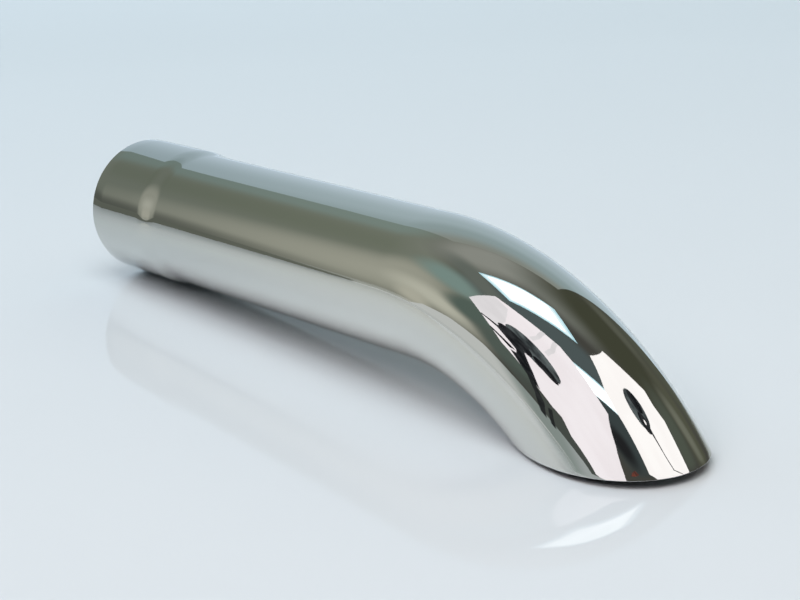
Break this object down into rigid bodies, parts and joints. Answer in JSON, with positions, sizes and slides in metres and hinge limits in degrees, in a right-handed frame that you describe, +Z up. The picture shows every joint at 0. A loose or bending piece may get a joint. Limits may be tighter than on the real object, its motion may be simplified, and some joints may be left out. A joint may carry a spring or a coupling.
{
  "type": "exhaust tip",
  "caption": "Turndown exhaust tip: one polished steel tube with a slip-on inlet, a long straight run, and a bend trimmed flat at the outlet.",
  "frame": {"origin": "on the surface that the tip lies on, under the middle of its bounding box", "axes": "+X from the inlet to the outlet, +Y sideways, +Z up; the tip is symmetric about the XZ plane and its straight run leans back 2.3 degrees, as it comes to rest on the inlet's lowest point and the heel of the cut"},
  "size_m": [0.461, 0.079, 0.0891],
  "materials": {
    "polished_steel": "polished"
  },
  "bodies": {
    "root": {"turndown_tip": "polished_steel"}
  },
  "joints": []
}
